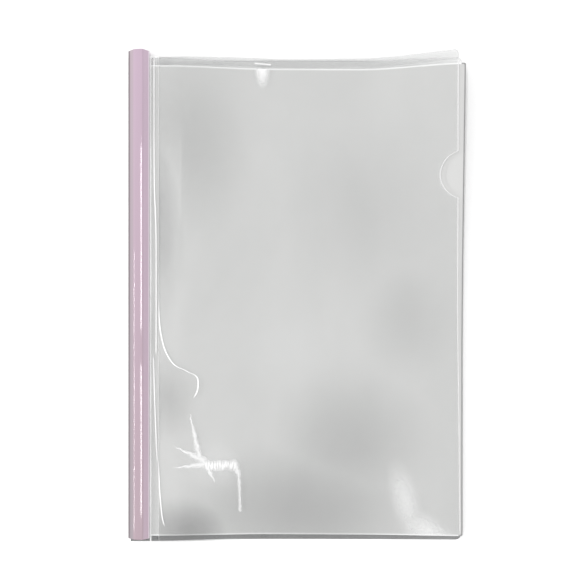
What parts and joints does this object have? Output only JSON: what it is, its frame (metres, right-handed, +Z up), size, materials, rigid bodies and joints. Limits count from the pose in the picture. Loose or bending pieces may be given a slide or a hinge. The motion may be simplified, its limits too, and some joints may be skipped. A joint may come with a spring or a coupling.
{
  "type": "clip folder",
  "caption": "Clear film folder for A4 sheets, clipped along its spine by a hollow slide bar, with a hinged front leaf that has a thumb notch.",
  "frame": {"origin": "middle of the folder's outline, on the surface that it lies on", "axes": "+Y along the slide bar towards the end with the thumb notch, +X from the bar to the free edge of the leaves, +Z up out of the front cover"},
  "size_m": [0.2114, 0.3086, 0.014],
  "materials": {
    "bar_plastic": "glossy lilac extruded plastic",
    "clear_film": "clear glossy film",
    "sheet_paper": "plain uncoated paper"
  },
  "bodies": {
    "sheets": {"folded_cover": "clear_film", "a4_sheet": "sheet_paper"},
    "bar": {"slide_bar": "bar_plastic"},
    "cover": {"front_cover": "clear_film"}
  },
  "joints": [
    {"name": "bar_slide", "type": "slide", "parent": "sheets", "child": "bar", "axis": [0, 1, 0], "range_m": [-0.31, 0.31]},
    {"name": "front_cover_hinge", "type": "hinge", "parent": "sheets", "child": "cover", "pos_m": [-0.08684, 0, 0.00551], "axis": [0, -1, 0], "range_deg": [0, 135]}
  ]
}
